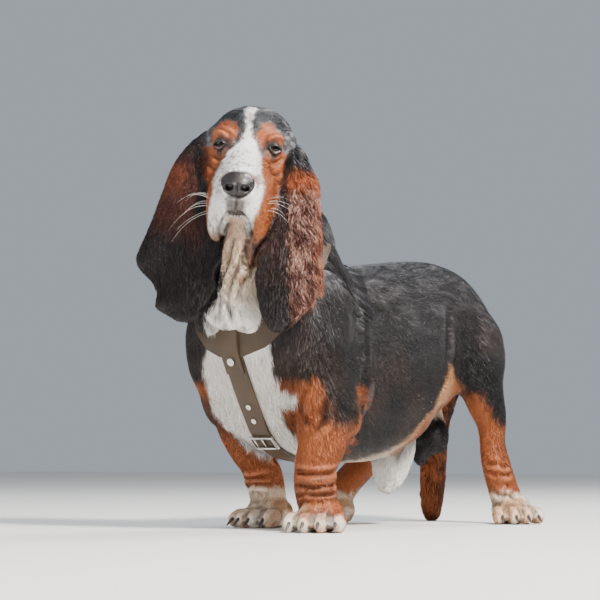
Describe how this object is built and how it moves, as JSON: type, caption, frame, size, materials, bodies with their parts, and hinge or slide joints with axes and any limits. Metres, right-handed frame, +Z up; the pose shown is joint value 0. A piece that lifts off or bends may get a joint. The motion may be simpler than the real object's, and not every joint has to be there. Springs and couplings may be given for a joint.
{
  "type": "basset hound",
  "caption": "Life-size standing tricolour scent hound with short legs, long low body, long hanging ears and loose skin, wearing a leather chest harness.",
  "frame": {"origin": "centre of the bounding box, on the floor", "axes": "+Z up, the dog faces -Y, its left side is +X; the trunk runs along Y and the head is turned to the dog's left"},
  "size_m": [0.3044, 0.7016, 0.5659],
  "materials": {
    "eye": "glossy",
    "nose": "moist, satin",
    "claw": "satin",
    "ear_hair": "soft hair",
    "harness": "oiled, satin",
    "metal": "polished",
    "tan_coat": "short hair",
    "white_coat": "short hair",
    "black_coat": "short glossy hair"
  },
  "bodies": {
    "root": {"strap_neck": "harness", "strap_chest": "harness", "strap_girth": "harness", "strap_double": "harness", "rivet": "metal", "grommet_1": "metal", "grommet_2": "metal", "buckle": "metal", "buckle_pin": "metal", "eye_left": "eye", "eye_right": "eye", "nose": "nose", "claw_forepaw_left_1": "claw", "claw_forepaw_left_2": "claw", "claw_forepaw_left_3": "claw", "claw_forepaw_left_4": "claw", "claw_forepaw_right_1": "claw", "claw_forepaw_right_2": "claw", "claw_forepaw_right_3": "claw", "claw_forepaw_right_4": "claw", "claw_hindpaw_left_1": "claw", "claw_hindpaw_left_2": "claw", "claw_hindpaw_left_3": "claw", "claw_hindpaw_left_4": "claw", "claw_hindpaw_right_1": "claw", "claw_hindpaw_right_2": "claw", "claw_hindpaw_right_3": "claw", "claw_hindpaw_right_4": "claw", "ear_left": "ear_hair", "ear_right": "ear_hair", "tail": "tan_coat", "flew_left": "white_coat", "flew_right": "white_coat", "jaw": "white_coat", "muzzle": "white_coat", "skull": "black_coat", "forepaw_left": "white_coat", "forepaw_right": "white_coat", "hindpaw_left": "white_coat", "hindpaw_right": "white_coat", "foreleg_left": "tan_coat", "foreleg_right": "tan_coat", "shank_left": "tan_coat", "shank_right": "tan_coat", "sheath": "white_coat", "scrotum": "black_coat", "thigh_left": "black_coat", "thigh_right": "black_coat", "shoulder_left": "black_coat", "shoulder_right": "black_coat", "dewlap": "white_coat", "neck": "black_coat", "rump": "black_coat", "loin": "black_coat", "chest": "black_coat"}
  },
  "joints": []
}
